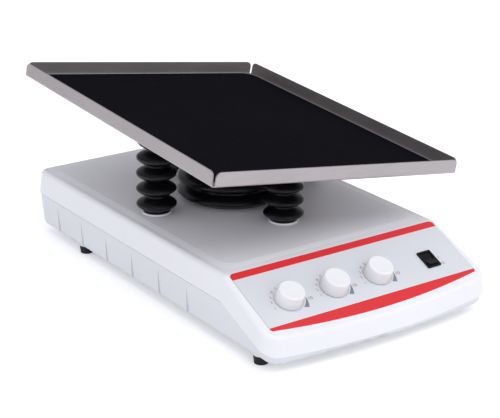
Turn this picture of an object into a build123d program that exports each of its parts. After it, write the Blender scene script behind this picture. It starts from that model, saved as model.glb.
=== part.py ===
from build123d import *
import os
from math import atan2, cos, degrees, hypot, radians, sin, tan

os.makedirs("parts", exist_ok=True)

# Driving dimensions in millimetres. The origin is on the bench, under the pivot of the platform.
# +X points to the right of the control panel, +Y to the back and +Z up.

# Housing, split by a parting line that is level at the back and runs down to the front
base_width = 279.0
rear_reach = 205.0
front_reach = 278.0
front_bow = 9.5
corner_radius = 15.0
seam_height = 48.7
seam_front = 16.0
seam_slope_length = 93.5
seam_gap = 0.4
cover_height = 75.9
cover_draft = 7.0
cover_wall = 3.0
shoulder_radius = 5.0
crown_height = 1.2
crown_slope = 8.0
crown_margin = 8.0
crown_front_gap = 9.8
tub_floor_height = 9.0
tub_draft = 5.0
tub_wall = 4.0
tub_edge_radius = 8.0

# Tapered flutes on the sides of the tub
flute_count = 6
flute_pitch = 54.7
flute_rear_gap = 53.1
flute_top = 43.0
flute_width = 9.0
flute_depth = 2.4

# Control panel, a slope at the front of the cover
panel_length = 92.2
panel_drop = 41.82
panel_bend_radius = 12.0
overlay_side_gap = 8.5
overlay_corner = 2.0
overlay_straight = 76.0
overlay_bow = 11.5
overlay_thickness = 0.5
overlay_margin = 0.3

# Knobs and their potentiometers
knob_side_gap = 40.6
knob_switch_gap = 68.9
control_row = 49.0
knob_height = 14.0
knob_base_radius = 15.6
knob_face_radius = 13.4
knob_standoff = 0.8
spindle_radius = 3.0
spindle_length = 20.0
spindle_clearance = 0.05
bushing_radius = 3.6
bushing_length = 5.0
bushing_play = 0.15
pot_radius = 12.0
pot_depth = 9.0
pot_back = 2.0
nut_width = 10.0
nut_thickness = 2.0
knob_wall = 2.0
knob_face_wall = 2.0
knob_edge_radius = 1.2
knob_hub_radius = 5.5
knob_mark_length = 5.0
knob_mark_width = 1.0
knob_mark_depth = 0.4
knob_rest_angle = 225.0

# Power rocker and its frame
switch_side_gap = 41.1
switch_corner = 1.0
switch_width = 17.4
switch_length = 22.6
switch_rim = 2.2
switch_body_inset = 1.2
switch_frame_height = 1.6
switch_depth = 17.0
rocker_swing = 10.0
rocker_clearance = 0.4
rocker_rise = 2.2
rocker_drop = 6.0
rocker_middle = 0.8
rocker_pocket = 9.0

# Pivot of the platform: a universal joint on a column
pivot_height = 142.2
rest_pitch = 3.34
rest_roll = 8.58
fork_gap = 11.0
fork_ear = 7.0
fork_radius = 8.0
fork_depth = 15.0
fork_base = 4.0
fork_base_width = 15.0
fork_corner = 2.0
fork_reach = 24.5
journal_radius = 4.0
journal_clearance = 0.05
bush_wall = 1.8
cross_block = 17.0
cross_height = 12.0
column_radius = 15.0
column_bore = 9.0
column_flange_radius = 26.0
column_flange = 5.0
column_base_radius = 27.0
column_screw_circle = 21.5
bridge_screw_radius = 1.5
bridge_screw_head = 2.5
bridge_screw_length = 12.0
fork_screw_head = 1.8
bridge_size = 112.0
bridge_thickness = 3.0
bridge_height = 62.0
standoff_span = 90.0
standoff_radius = 5.0
fork_screw_radius = 1.5
fork_screw_place = 21.3

# Tilting drives: a crank arm, as long as the pin circle of the platform, and an upright rod each
rod_circle = 34.0
rod_radius = 3.5
rod_slot_radius = 6.5
rod_eye_radius = 6.5
rod_eye_width = 9.0
ball_radius = 4.5
ball_play = 3.0
socket_wall = 1.5
socket_drop = 0.5
drive_height = 40.0
arm_offset = 14.0
arm_thickness = 6.0
arm_hub_radius = 8.5
arm_eye_radius = 6.0
crank_pin_radius = 2.5
pin_clearance = 0.05
pin_head = 1.5
output_radius = 3.0
motor_face = 24.0
motor_radius = 18.0
gearbox_length = 26.0
motor_length = 40.0
bracket_thickness = 3.0
bracket_width = 40.0
bracket_foot = 24.0
gearbox_boss_radius = 6.0
motor_step = 1.5
output_depth = 16.0
eye_gap = 0.3

# Platform: a folded steel tray with a rubber mat, on a round hub plate
hub_radius = 44.0
hub_thickness = 3.0
tray_width = 318.0
tray_depth = 383.0
tray_sheet = 1.5
tray_lip = 15.5
tray_slit = 1.2
tray_bend = 2.4
tray_lip_corner = 6.0
mat_margin = 5.0
mat_thickness = 2.5
mat_corner = 20.0
tray_screw_circle = 36.0
tray_screw_radius = 2.0
tray_screw_head = 4.0
tray_screw_depth = 2.4

# Rubber bellows
bellows_circle = 98.0
lobe_count = 5
lobe_radius = 21.0
neck_radius = 11.5
bellows_wall = 1.6
bellows_seat = 0.3
seat_ring_radius = 15.5
seat_ring_height = 1.5
large_lobe_radius = 63.0
large_neck_radius = 51.0
clamp_ring_height = 2.0
clamp_ring_width = 5.5
cover_opening_radius = 42.0

# Feet, screws and pillars that hold the housing together
foot_side_gap = 13.5
foot_front_gap = 43.0
foot_rear_gap = 96.0
foot_radius = 8.0
foot_sole_radius = 7.0
foot_screw_radius = 1.5
foot_screw_grip = 7.0
foot_recess = 4.0
foot_screw_head = 2.0
foot_post_radius = 6.0
boss_side_gap = 27.5
boss_front_gap = 128.0
boss_middle_y = 45.0
boss_rear_gap = 25.0
boss_radius = 5.0
boss_bore = 1.6
housing_screw_radius = 1.5
housing_screw_head = 3.0
housing_screw_recess = 3.0
housing_screw_grip = 14.0
boss_joint_height = 30.0

# Electrical pieces inside and the mains inlet at the back
inlet_side_gap = 69.5
inlet_height = 30.0
inlet_opening_gap = 0.3
inlet_width = 27.0
inlet_tall = 20.0
inlet_flange = 2.5
inlet_flange_width = 31.0
inlet_flange_tall = 24.0
inlet_depth = 20.0
inlet_recess = 17.0
inlet_pin_length = 11.5
inlet_wall = 1.6
inlet_corner = 3.5
inlet_blade_pitch = 7.0
inlet_blade_offset = 2.0
inlet_blade_thickness = 2.0
inlet_blade_width = 4.0
supply_length = 70.0
supply_width = 50.0
supply_height = 30.0
supply_corner = 2.0
supply_slots = 8
supply_slot_width = 2.5
supply_rear_gap = 35.0
supply_motor_gap = 5.0
board_width = 140.0
board_length = 60.0
board_thickness = 1.6
board_hole_inset = 5.0
board_hole_radius = 1.6
board_post_radius = 4.0
board_chip = 14.0
board_standoff = 8.0
board_x = -30.0
board_bridge_gap = 14.0

# Places worked out from the sizes above
cover_slope = tan(radians(cover_draft))
tub_slope = tan(radians(tub_draft))
seam_run = (seam_height - seam_front) / seam_slope_length
seam_bend_y = seam_slope_length - front_reach
crown_top = cover_height + crown_height
tub_inside_floor = tub_floor_height + tub_wall
panel_run = panel_drop / panel_length
panel_top_y = panel_length - front_reach
panel_plane = Plane(origin=(0, panel_top_y, cover_height), x_dir=(1, 0, 0), z_dir=(0, -panel_drop, panel_length))
overlay_width = base_width - 2 * overlay_side_gap
pivot_plane = Plane(origin=(0, 0, pivot_height))
cross_plane = pivot_plane.rotated((rest_pitch, 0, 0))
tray_frame = Plane(
    origin=cross_plane.origin,
    x_dir=cross_plane.x_dir * cos(radians(rest_roll)) - cross_plane.z_dir * sin(radians(rest_roll)),
    z_dir=cross_plane.z_dir * cos(radians(rest_roll)) + cross_plane.x_dir * sin(radians(rest_roll)),
)
hub_underside = fork_depth
tray_underside = hub_underside + hub_thickness
tray_floor_top = tray_underside + tray_sheet
switch_body_width = switch_width - 2 * switch_body_inset
switch_body_length = switch_length - 2 * switch_body_inset
knob_first_x = knob_side_gap - overlay_width / 2
switch_x = overlay_width / 2 - switch_side_gap
knob_names = ["speed", "tilt", "timer"]
knob_pitch = (switch_x - knob_switch_gap - knob_first_x) / (len(knob_names) - 1)
knob_places = [knob_first_x + knob_pitch * i for i in range(len(knob_names))]
boss_rows = (boss_front_gap - front_reach, boss_middle_y, rear_reach - boss_rear_gap)
boss_places = [(side * (base_width / 2 - boss_side_gap), y) for side in (-1, 1) for y in boss_rows]
foot_x = base_width / 2 - foot_side_gap
foot_front_y = foot_front_gap - front_reach
foot_rear_y = rear_reach - foot_rear_gap
supply_place = (
    -motor_radius - supply_motor_gap - supply_length / 2,
    rear_reach - supply_rear_gap - supply_width / 2,
)
board_place = (board_x, -bridge_size / 2 - board_bridge_gap - board_length / 2)
foot_places = {
    "foot_front_left": (-foot_x, foot_front_y),
    "foot_front_right": (foot_x, foot_front_y),
    "foot_rear_left": (-foot_x, foot_rear_y),
    "foot_rear_right": (foot_x, foot_rear_y),
}
small_bellows = {
    "bellows_left": (-bellows_circle, 0),
    "bellows_right": (bellows_circle, 0),
    "bellows_front": (0, -bellows_circle),
    "bellows_rear": (0, bellows_circle),
}


def finish(builder, name):
    """Label a finished sub-part and write it under its own name."""
    builder.part.label = name
    export_step(builder.part, f"parts/{name}.step")


def plan_outline(side, rear, front, radius):
    """Plan of the housing: straight sides and back, a bowed front and round corners."""
    with BuildLine() as outline:
        Polyline((side, front_bow - front), (side, rear), (-side, rear), (-side, front_bow - front))
        ThreePointArc((-side, front_bow - front), (0, -front), (side, front_bow - front))
    make_face(outline.edges())
    fillet(vertices(), radius)


def cover_form(inset, round_off):
    """Drafted block of the cover under its roof line, drawn in by inset, with a rounded shoulder."""
    spread = (seam_height - tub_floor_height) * cover_slope
    front_spread = (seam_front - tub_floor_height) * cover_slope
    roof = cover_height - inset
    roof_bend_y = panel_top_y + inset * tan(atan2(panel_drop, panel_length) / 2)
    far = 2 * front_reach
    with BuildPart() as form:
        with BuildSketch(Plane.XY.offset(tub_floor_height)):
            plan_outline(
                base_width / 2 + spread - inset,
                rear_reach + spread - inset,
                front_reach + front_spread - inset,
                corner_radius + spread - inset,
            )
        extrude(amount=cover_height, taper=cover_draft)
        with BuildSketch(Plane.YZ):
            with BuildLine():
                Polyline(
                    (far, 0),
                    (far, roof),
                    (roof_bend_y, roof),
                    (roof_bend_y - far, roof - far * panel_run),
                    close=True,
                )
            make_face()
            bend = vertices().sort_by_distance((0, roof_bend_y, roof))[0]
            fillet(bend, panel_bend_radius + inset)
        extrude(amount=base_width, both=True, mode=Mode.INTERSECT)
        roof_faces = faces().filter_by(lambda face: face.normal_at().Z > 0.7)
        wall_faces = faces().filter_by(lambda face: abs(face.normal_at().Z) < 0.7)
        wall_edges = wall_faces.edges()
        shoulder = [edge for edge in roof_faces.edges() if any(edge.is_same(other) for other in wall_edges)]
        fillet(shoulder, round_off)
    return form.part


def tub_form(inset, floor, round_off):
    """Closed form of the tub below the parting line, from its floor, drawn in by inset."""
    with BuildPart() as form:
        with BuildSketch(Plane.XY.offset(floor)):
            plan_outline(
                base_width / 2 - (seam_height - floor) * tub_slope - inset,
                rear_reach - (seam_height - floor) * tub_slope - inset,
                front_reach - seam_gap + (floor - seam_front) * tub_slope - inset,
                corner_radius - inset / 2,
            )
        extrude(amount=seam_height - floor, taper=-tub_draft)
        fillet(faces().sort_by(Axis.Z)[0].edges(), round_off)
        with BuildSketch(Plane.YZ):
            seam_region(seam_gap / 2, below=True)
        extrude(amount=base_width, both=True, mode=Mode.INTERSECT)
    return form.part


def seam_region(clearance, below):
    """Side view of all that lies below, or above, the parting line."""
    side = -1 if below else 1
    shift = side * clearance
    far = 2 * front_reach
    with BuildLine() as outline:
        Polyline(
            (far, seam_height + shift),
            (seam_bend_y, seam_height + shift),
            (seam_bend_y - far, seam_height - far * seam_run + shift),
            (seam_bend_y - far, side * far),
            (far, side * far),
            close=True,
        )
    make_face(outline.edges())


def overlay_outline(margin):
    """Outline of the control panel's overlay: three straight sides and a bowed lower edge."""
    side = overlay_width / 2 + margin
    low = -overlay_straight - margin
    with BuildLine() as outline:
        Polyline((side, low), (side, margin), (-side, margin), (-side, low))
        ThreePointArc((-side, low), (0, low - overlay_bow), (side, low))
    make_face(outline.edges())
    fillet(vertices().group_by(Axis.Y)[-1], overlay_corner + margin)


def drive_plane(name, turned):
    """Plane of one drive: its normal is the shaft, its x runs along the crank arm."""
    if name == "pitch":
        swing = radians(rest_pitch) if turned else 0
        return Plane(origin=(0, 0, drive_height), x_dir=(0, -cos(swing), -sin(swing)), z_dir=(1, 0, 0))
    swing = radians(rest_roll) if turned else 0
    return Plane(origin=(0, 0, drive_height), x_dir=(-cos(swing), 0, sin(swing)), z_dir=(0, 1, 0))


def fork_shape(plane):
    """Fork of the universal joint: a base strip and two round ears with bores for the bushes."""
    ear_plane = Plane(origin=plane.origin, x_dir=plane.y_dir, z_dir=plane.x_dir)
    with BuildPart() as fork:
        with BuildSketch(plane.offset(fork_depth - fork_base)):
            RectangleRounded(2 * fork_reach, fork_base_width, fork_corner)
        extrude(amount=fork_base)
        for start in (fork_gap, -fork_gap - fork_ear):
            with BuildSketch(ear_plane.offset(start)):
                Circle(fork_radius)
                Rectangle(2 * fork_radius, fork_depth, align=(Align.CENTER, Align.MIN))
                Circle(journal_radius + journal_clearance + bush_wall, mode=Mode.SUBTRACT)
            extrude(amount=fork_ear)
        with BuildSketch(plane.offset(fork_depth - fork_base)):
            with Locations((-fork_screw_place, 0), (fork_screw_place, 0)):
                Circle(fork_screw_radius + pin_clearance)
        extrude(amount=fork_base, mode=Mode.SUBTRACT)
    return fork.part


def bush_shape(plane):
    """Pair of plain bushes pressed into the ears of a fork."""
    ear_plane = Plane(origin=plane.origin, x_dir=plane.y_dir, z_dir=plane.x_dir)
    with BuildPart() as bushes:
        for start in (fork_gap, -fork_gap - fork_ear):
            with BuildSketch(ear_plane.offset(start)):
                Circle(journal_radius + journal_clearance + bush_wall)
                Circle(journal_radius + journal_clearance, mode=Mode.SUBTRACT)
            extrude(amount=fork_ear)
    return bushes.part


def bellows_plane(foot, head, share):
    """Cross plane of a bellows whose axis leaves its foot and meets its head squarely."""
    span = (head.origin - foot.origin).length
    start, end = foot.origin, head.origin
    leave, arrive = foot.z_dir * span, head.z_dir * span
    s = share
    point = (
        start * (2 * s**3 - 3 * s**2 + 1)
        + leave * (s**3 - 2 * s**2 + s)
        + end * (3 * s**2 - 2 * s**3)
        + arrive * (s**3 - s**2)
    )
    along = (
        start * (6 * s**2 - 6 * s)
        + leave * (3 * s**2 - 4 * s + 1)
        + end * (6 * s - 6 * s**2)
        + arrive * (3 * s**2 - 2 * s)
    )
    return Plane(origin=point, x_dir=Vector(0, 1, 0).cross(along), z_dir=along)


def bellows_sections(foot, head, free_height, neck, lobe):
    """Planes and radii of a bellows; two thirds of any stretch goes into its upper cuff."""
    span = (head.origin - foot.origin).length
    cuff = max(0.5, (span - free_height) * 2 / 3)
    reach = 1 - cuff / span
    sections = []
    for i in range(lobe_count):
        for share, radius in ((0, neck), (0.25, lobe), (0.75, lobe)):
            sections.append((bellows_plane(foot, head, (i + share) / lobe_count * reach), radius))
    sections.append((bellows_plane(foot, head, reach), neck))
    sections.append((bellows_plane(foot, head, 1), neck))
    return sections


# Tub of the housing, with its flutes, pillars, foot pads and inlet cut-out
flute_rise = flute_top - tub_floor_height
flute_run = flute_rise * tub_slope + flute_depth
flute_length = hypot(flute_rise, flute_run)
rear_wall_y = rear_reach - (seam_height - inlet_height) * tub_slope
inlet_plane = Plane(
    origin=(base_width / 2 - inlet_side_gap, rear_wall_y, inlet_height),
    x_dir=(-1, 0, 0),
    z_dir=(0, cos(radians(tub_draft)), -sin(radians(tub_draft))),
)

with BuildPart() as flute_cuts:
    for side in (-1, 1):
        for i in range(flute_count):
            back = Plane(
                origin=(
                    side * (base_width / 2 - (seam_height - flute_top) * tub_slope),
                    rear_reach - flute_rear_gap - flute_pitch * i,
                    flute_top,
                ),
                x_dir=(0, side, 0),
                z_dir=(side * flute_rise, 0, -flute_run),
            )
            with BuildSketch(back):
                with BuildLine():
                    Polyline(
                        (-flute_width / 2, -flute_length),
                        (flute_width / 2, -flute_length),
                        (0, 0),
                        close=True,
                    )
                make_face()
            extrude(amount=2 * flute_depth)

with BuildPart() as bottom_tub:
    add(tub_form(0, tub_floor_height, tub_edge_radius))
    with Locations(*[(x, y, tub_floor_height) for x, y in foot_places.values()]):
        Cylinder(foot_radius, tub_wall, align=(Align.CENTER, Align.CENTER, Align.MIN))
    add(flute_cuts.part, mode=Mode.SUBTRACT)
    add(tub_form(tub_wall, tub_inside_floor, tub_edge_radius - tub_wall), mode=Mode.SUBTRACT)
    with Locations(*[(x, y, tub_inside_floor) for x, y in foot_places.values()]):
        Cylinder(foot_post_radius, foot_screw_grip, align=(Align.CENTER, Align.CENTER, Align.MIN))
    with Locations(*[(x, y, tub_inside_floor) for x, y in boss_places]):
        Cylinder(boss_radius, boss_joint_height - tub_inside_floor,
                 align=(Align.CENTER, Align.CENTER, Align.MIN))
    with BuildSketch(Plane.XY.offset(tub_inside_floor)):
        with Locations(board_place):
            with GridLocations(board_width - 2 * board_hole_inset, board_length - 2 * board_hole_inset, 2, 2):
                Circle(board_post_radius)
    extrude(amount=board_standoff)
    with Locations(*[(x, y, tub_floor_height) for x, y in boss_places]):
        Cylinder(housing_screw_radius + pin_clearance, boss_joint_height,
                 align=(Align.CENTER, Align.CENTER, Align.MIN), mode=Mode.SUBTRACT)
        Cylinder(housing_screw_head + pin_clearance, housing_screw_recess,
                 align=(Align.CENTER, Align.CENTER, Align.MIN), mode=Mode.SUBTRACT)
    with Locations(*[(x, y, tub_floor_height) for x, y in foot_places.values()]):
        Cylinder(foot_screw_radius + pin_clearance, tub_wall + foot_screw_grip,
                 align=(Align.CENTER, Align.CENTER, Align.MIN), mode=Mode.SUBTRACT)
    with BuildSketch(inlet_plane):
        Rectangle(inlet_width + 2 * inlet_opening_gap, inlet_tall + 2 * inlet_opening_gap)
    extrude(amount=2 * tub_wall, both=True, mode=Mode.SUBTRACT)
finish(bottom_tub, "bottom_tub")

# Cover of the housing: drafted shell, raised crown, sloped panel and the opening under the large bellows
crown_side = base_width / 2 - (cover_height - seam_height) * cover_slope - crown_margin
crown_rear = rear_reach - (cover_height - seam_height) * cover_slope - crown_margin
crown_front_y = panel_top_y + crown_front_gap

with BuildPart() as top_cover:
    add(cover_form(0, shoulder_radius))
    for level, draw_in in ((cover_height, 0), (crown_top, crown_slope)):
        with BuildSketch(Plane.XY.offset(level)):
            with Locations((0, (crown_rear + crown_front_y) / 2)):
                RectangleRounded(2 * (crown_side - draw_in), crown_rear - crown_front_y - 2 * draw_in, corner_radius)
    loft()
    with Locations(*[(x, y, crown_top) for x, y in small_bellows.values()]):
        Cylinder(seat_ring_radius, seat_ring_height, align=(Align.CENTER, Align.CENTER, Align.MIN))
    add(cover_form(cover_wall, shoulder_radius - cover_wall), mode=Mode.SUBTRACT)
    with Locations(*[(x, y, boss_joint_height) for x, y in boss_places]):
        Cylinder(boss_radius, cover_height - cover_wall - boss_joint_height,
                 align=(Align.CENTER, Align.CENTER, Align.MIN))
        Cylinder(boss_bore, housing_screw_grip, align=(Align.CENTER, Align.CENTER, Align.MIN), mode=Mode.SUBTRACT)
    with BuildSketch(Plane.YZ):
        seam_region(seam_gap / 2, below=False)
    extrude(amount=base_width, both=True, mode=Mode.INTERSECT)
    with BuildSketch(Plane.XY.offset(cover_height - 2 * cover_wall)):
        Circle(cover_opening_radius)
    extrude(amount=4 * cover_wall, mode=Mode.SUBTRACT)
    with BuildSketch(panel_plane):
        overlay_outline(overlay_margin)
    extrude(amount=-overlay_thickness, mode=Mode.SUBTRACT)
    with BuildSketch(panel_plane):
        with Locations(*[(x, -control_row) for x in knob_places]):
            Circle(bushing_radius + bushing_play)
        with Locations((switch_x, -control_row)):
            Rectangle(switch_body_width + 2 * bushing_play, switch_body_length + 2 * bushing_play)
    extrude(amount=-3 * cover_wall, mode=Mode.SUBTRACT)
finish(top_cover, "top_cover")

# Printed overlay of the control panel
with BuildPart() as panel_overlay:
    with BuildSketch(panel_plane):
        overlay_outline(0)
        with Locations(*[(x, -control_row) for x in knob_places]):
            Circle(bushing_radius + bushing_play, mode=Mode.SUBTRACT)
        with Locations((switch_x, -control_row)):
            Rectangle(switch_body_width + 2 * bushing_play, switch_body_length + 2 * bushing_play,
                      mode=Mode.SUBTRACT)
    extrude(amount=-overlay_thickness)
finish(panel_overlay, "panel_overlay")

# Rubber feet, each with a recess for its screw
for name, (x, y) in foot_places.items():
    with BuildPart() as foot:
        with BuildSketch(Plane(origin=(x, y, 0))):
            Circle(foot_sole_radius)
        with BuildSketch(Plane(origin=(x, y, tub_floor_height))):
            Circle(foot_radius)
        loft()
        with Locations((x, y, 0)):
            Cylinder(foot_screw_radius + pin_clearance, tub_floor_height,
                     align=(Align.CENTER, Align.CENTER, Align.MIN), mode=Mode.SUBTRACT)
            Cylinder(2 * foot_screw_radius + pin_clearance, foot_recess,
                     align=(Align.CENTER, Align.CENTER, Align.MIN), mode=Mode.SUBTRACT)
    finish(foot, name)

with BuildPart() as foot_screws:
    with Locations(*[(x, y, foot_recess) for x, y in foot_places.values()]):
        Cylinder(foot_screw_radius, tub_floor_height - foot_recess + tub_wall + foot_screw_grip - 1,
                 align=(Align.CENTER, Align.CENTER, Align.MIN))
        Cylinder(2 * foot_screw_radius, foot_screw_head, align=(Align.CENTER, Align.CENTER, Align.MAX))
finish(foot_screws, "foot_screws")

# Screws that hold the cover down, reached from below
with BuildPart() as housing_screws:
    with Locations(*[(x, y, tub_floor_height + housing_screw_recess) for x, y in boss_places]):
        Cylinder(housing_screw_radius, boss_joint_height + housing_screw_grip - 1 - tub_floor_height
                 - housing_screw_recess, align=(Align.CENTER, Align.CENTER, Align.MIN))
        Cylinder(housing_screw_head, housing_screw_recess - 0.5,
                 align=(Align.CENTER, Align.CENTER, Align.MAX))
finish(housing_screws, "housing_screws")

# Bridge plate on four standoffs, which carries the column
rod_slots = [
    (0, -rod_circle * cos(radians(rest_pitch))),
    (-rod_circle * cos(radians(rest_roll)), 0),
]
bridge_top = bridge_height + bridge_thickness

with BuildPart() as bridge_plate:
    with BuildSketch(Plane.XY.offset(bridge_height)):
        RectangleRounded(bridge_size, bridge_size, standoff_radius)
        with Locations(*rod_slots):
            Circle(rod_slot_radius, mode=Mode.SUBTRACT)
        with GridLocations(standoff_span, standoff_span, 2, 2):
            Circle(bridge_screw_radius + pin_clearance, mode=Mode.SUBTRACT)
        with PolarLocations(column_screw_circle, 4, start_angle=45):
            Circle(bridge_screw_radius + pin_clearance, mode=Mode.SUBTRACT)
    extrude(amount=bridge_thickness)
finish(bridge_plate, "bridge_plate")

with BuildPart() as bridge_standoffs:
    with BuildSketch(Plane.XY.offset(tub_inside_floor)):
        with GridLocations(standoff_span, standoff_span, 2, 2):
            RegularPolygon(standoff_radius, 6)
            Circle(bridge_screw_radius + pin_clearance, mode=Mode.SUBTRACT)
    extrude(amount=bridge_height - tub_inside_floor)
finish(bridge_standoffs, "bridge_standoffs")

with BuildPart() as bridge_screws:
    with BuildSketch(Plane.XY.offset(bridge_top)):
        with GridLocations(standoff_span, standoff_span, 2, 2):
            Circle(2 * bridge_screw_radius)
    extrude(amount=bridge_screw_head)
    with BuildSketch(Plane.XY.offset(bridge_top)):
        with GridLocations(standoff_span, standoff_span, 2, 2):
            Circle(bridge_screw_radius)
    extrude(amount=-bridge_screw_length)
finish(bridge_screws, "bridge_screws")

# Column with a flange at each end
column_top = pivot_height - fork_depth

with BuildPart() as pivot_column:
    with BuildSketch(Plane.XZ):
        with BuildLine():
            Polyline(
                (column_bore, bridge_top),
                (column_base_radius, bridge_top),
                (column_base_radius, bridge_top + column_flange),
                (column_radius, bridge_top + column_flange),
                (column_radius, column_top - column_flange),
                (column_flange_radius, column_top - column_flange),
                (column_flange_radius, column_top),
                (column_bore, column_top),
                close=True,
            )
        make_face()
    revolve(axis=Axis.Z)
    with BuildSketch(Plane.XY.offset(bridge_top)):
        with PolarLocations(column_screw_circle, 4, start_angle=45):
            Circle(bridge_screw_radius + pin_clearance)
    extrude(amount=column_flange, mode=Mode.SUBTRACT)
    with BuildSketch(Plane.XY.offset(column_top)):
        with Locations((-fork_screw_place, 0), (fork_screw_place, 0)):
            Circle(fork_screw_radius + pin_clearance)
    extrude(amount=-column_flange, mode=Mode.SUBTRACT)
finish(pivot_column, "pivot_column")

with BuildPart() as column_screws:
    with BuildSketch(Plane.XY.offset(bridge_top + column_flange)):
        with PolarLocations(column_screw_circle, 4, start_angle=45):
            Circle(2 * bridge_screw_radius)
    extrude(amount=bridge_screw_head)
    with BuildSketch(Plane.XY.offset(bridge_top + column_flange)):
        with PolarLocations(column_screw_circle, 4, start_angle=45):
            Circle(bridge_screw_radius)
    extrude(amount=-column_flange - bridge_thickness)
    with BuildSketch(Plane.XY.offset(column_top + fork_base)):
        with Locations((-fork_screw_place, 0), (fork_screw_place, 0)):
            Circle(2 * fork_screw_radius)
    extrude(amount=fork_screw_head)
    with BuildSketch(Plane.XY.offset(column_top + fork_base)):
        with Locations((-fork_screw_place, 0), (fork_screw_place, 0)):
            Circle(fork_screw_radius)
    extrude(amount=-fork_base - column_flange)
finish(column_screws, "column_screws")

# Universal joint: a fork on the column, a cross, and a fork under the platform
lower_fork_plane = Plane(origin=pivot_plane.origin, x_dir=(1, 0, 0), z_dir=(0, 0, -1))
upper_fork_plane = Plane(origin=tray_frame.origin, x_dir=tray_frame.y_dir, z_dir=tray_frame.z_dir)

with BuildPart() as lower_fork:
    add(fork_shape(lower_fork_plane))
finish(lower_fork, "lower_fork")

with BuildPart() as lower_fork_bushes:
    add(bush_shape(lower_fork_plane))
finish(lower_fork_bushes, "lower_fork_bushes")

with BuildPart() as cross:
    with BuildSketch(cross_plane.offset(-cross_height / 2)):
        RectangleRounded(cross_block, cross_block, 2)
    extrude(amount=cross_height)
    for axis_dir in (cross_plane.x_dir, cross_plane.y_dir):
        with BuildSketch(Plane(origin=cross_plane.origin, z_dir=axis_dir)):
            Circle(journal_radius)
        extrude(amount=fork_gap + fork_ear, both=True)
finish(cross, "cross")

with BuildPart() as upper_fork:
    add(fork_shape(upper_fork_plane))
finish(upper_fork, "upper_fork")

with BuildPart() as upper_fork_bushes:
    add(bush_shape(upper_fork_plane))
finish(upper_fork_bushes, "upper_fork_bushes")

# Hub plate between the upper fork and the tray
with BuildPart() as hub_plate:
    with BuildSketch(tray_frame.offset(hub_underside)):
        Circle(hub_radius)
        with PolarLocations(tray_screw_circle, 4, start_angle=45):
            Circle(tray_screw_radius + pin_clearance, mode=Mode.SUBTRACT)
        with Locations((0, -fork_screw_place), (0, fork_screw_place)):
            Circle(fork_screw_radius + pin_clearance, mode=Mode.SUBTRACT)
    extrude(amount=hub_thickness)
finish(hub_plate, "hub_plate")

# Folded tray: a floor with four upturned lips that leave a slit at each corner
platform_up = Axis(tray_frame.origin, tray_frame.z_dir)

with BuildPart() as tray:
    with BuildSketch(tray_frame.offset(tray_underside)):
        Rectangle(tray_width, tray_depth)
    extrude(amount=tray_lip)
    fillet(edges().group_by(platform_up)[0], tray_bend)
    with BuildSketch(tray_frame.offset(tray_floor_top)):
        Rectangle(tray_width - 2 * tray_sheet, tray_depth - 2 * tray_sheet)
    extrude(amount=tray_lip, mode=Mode.SUBTRACT)
    inside_folds = edges().filter_by_position(platform_up, tray_floor_top - 0.01, tray_floor_top + 0.01)
    fillet(inside_folds, tray_bend - tray_sheet)
    with BuildSketch(tray_frame.offset(tray_underside)):
        with GridLocations(tray_width, tray_depth, 2, 2):
            Rectangle(2 * (tray_sheet + tray_slit), 2 * (tray_sheet + tray_slit))
    extrude(amount=tray_lip, mode=Mode.SUBTRACT)
    lip_tops = faces().group_by(platform_up)[-1]
    fillet(lip_tops.edges().filter_by(lambda edge: edge.length < 2 * tray_sheet), tray_lip_corner)
    with BuildSketch(tray_frame.offset(tray_underside)):
        with PolarLocations(tray_screw_circle, 4, start_angle=45):
            Circle(tray_screw_radius + pin_clearance)
    extrude(amount=tray_sheet, mode=Mode.SUBTRACT)
finish(tray, "tray")

with BuildPart() as tray_mat:
    with BuildSketch(tray_frame.offset(tray_floor_top)):
        RectangleRounded(
            tray_width - 2 * (tray_sheet + mat_margin),
            tray_depth - 2 * (tray_sheet + mat_margin),
            mat_corner,
        )
    extrude(amount=mat_thickness)
finish(tray_mat, "tray_mat")

with BuildPart() as tray_screws:
    with BuildSketch(tray_frame.offset(hub_underside)):
        with PolarLocations(tray_screw_circle, 4, start_angle=45):
            Circle(tray_screw_head)
    extrude(amount=-tray_screw_depth)
    with BuildSketch(tray_frame.offset(hub_underside)):
        with PolarLocations(tray_screw_circle, 4, start_angle=45):
            Circle(tray_screw_radius)
    extrude(amount=hub_thickness + tray_sheet)
finish(tray_screws, "tray_screws")

# Tilting drives: motor bracket, gearmotor, output shaft, crank arm, crank pin, rod and its ball socket
socket_radius = ball_radius + ball_play + socket_wall
rod_length = pivot_height - drive_height
drives = {
    "pitch": (Vector(1, 0, 0), Vector(0, 1, 0), Vector(0, -rod_circle, 0)),
    "roll": (Vector(0, 1, 0), Vector(-1, 0, 0), Vector(-rod_circle, 0, 0)),
}

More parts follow.
